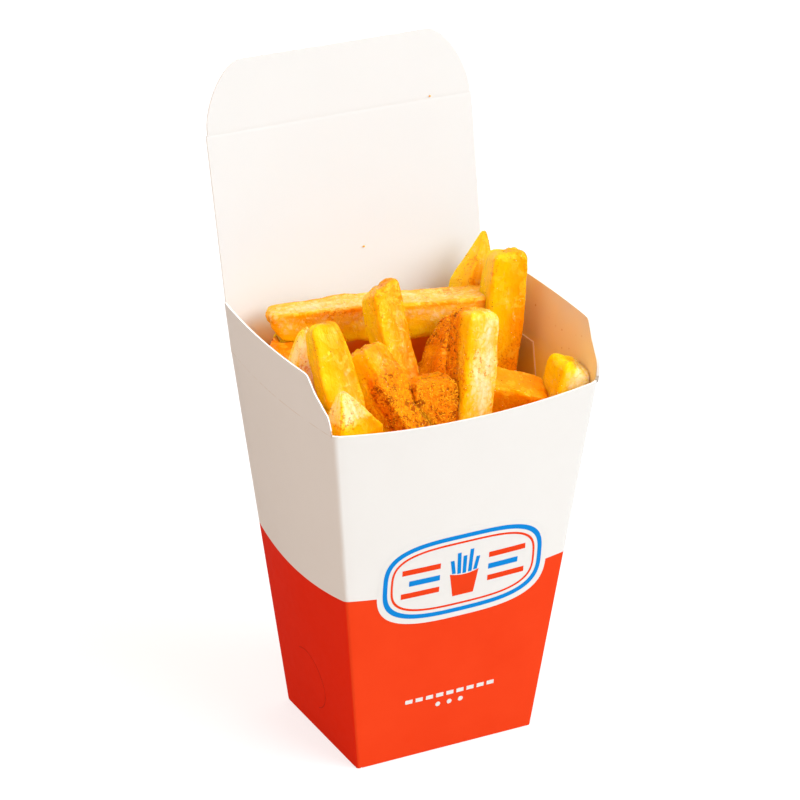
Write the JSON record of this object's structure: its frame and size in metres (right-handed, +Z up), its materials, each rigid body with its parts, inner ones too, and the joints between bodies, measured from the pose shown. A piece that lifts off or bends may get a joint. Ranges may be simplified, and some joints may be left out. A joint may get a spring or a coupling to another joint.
{
  "type": "french fries in a carton",
  "caption": "Tapered paperboard carton with an open hinged lid, a tuck flap and side flaps, filled with a heap of thick-cut french fries.",
  "frame": {"origin": "centre of the carton's flat underside", "axes": "+Z up, -Y towards the printed front wall, +X to the right as seen from the front"},
  "size_m": [0.0982, 0.0923, 0.2094],
  "materials": {
    "printed_board": "satin",
    "board": "satin",
    "fries": "satin"
  },
  "bodies": {
    "carton": {"carton_body": "printed_board", "fries": "fries"},
    "lid": {"lid_panel": "board"},
    "tuck": {"tuck_flap": "board"},
    "flap_left": {"side_flap_left": "board"},
    "flap_right": {"side_flap_right": "board"}
  },
  "joints": [
    {"name": "lid_crease", "type": "hinge", "parent": "carton", "child": "lid", "pos_m": [0, 0.036, 0.122], "axis": [1, 0, 0], "range_deg": [-150, 14]},
    {"name": "tuck_crease", "type": "hinge", "parent": "lid", "child": "tuck", "pos_m": [0, 0.04938, 0.18786], "axis": [1, 0, 0], "range_deg": [-15, 100]},
    {"name": "left_flap_crease", "type": "hinge", "parent": "carton", "child": "flap_left", "pos_m": [-0.0476, 0, 0.122], "axis": [0, -1, 0], "range_deg": [-3, 95]},
    {"name": "right_flap_crease", "type": "hinge", "parent": "carton", "child": "flap_right", "pos_m": [0.0468, 0, 0.122], "axis": [0, 1, 0], "range_deg": [-3, 95]}
  ]
}
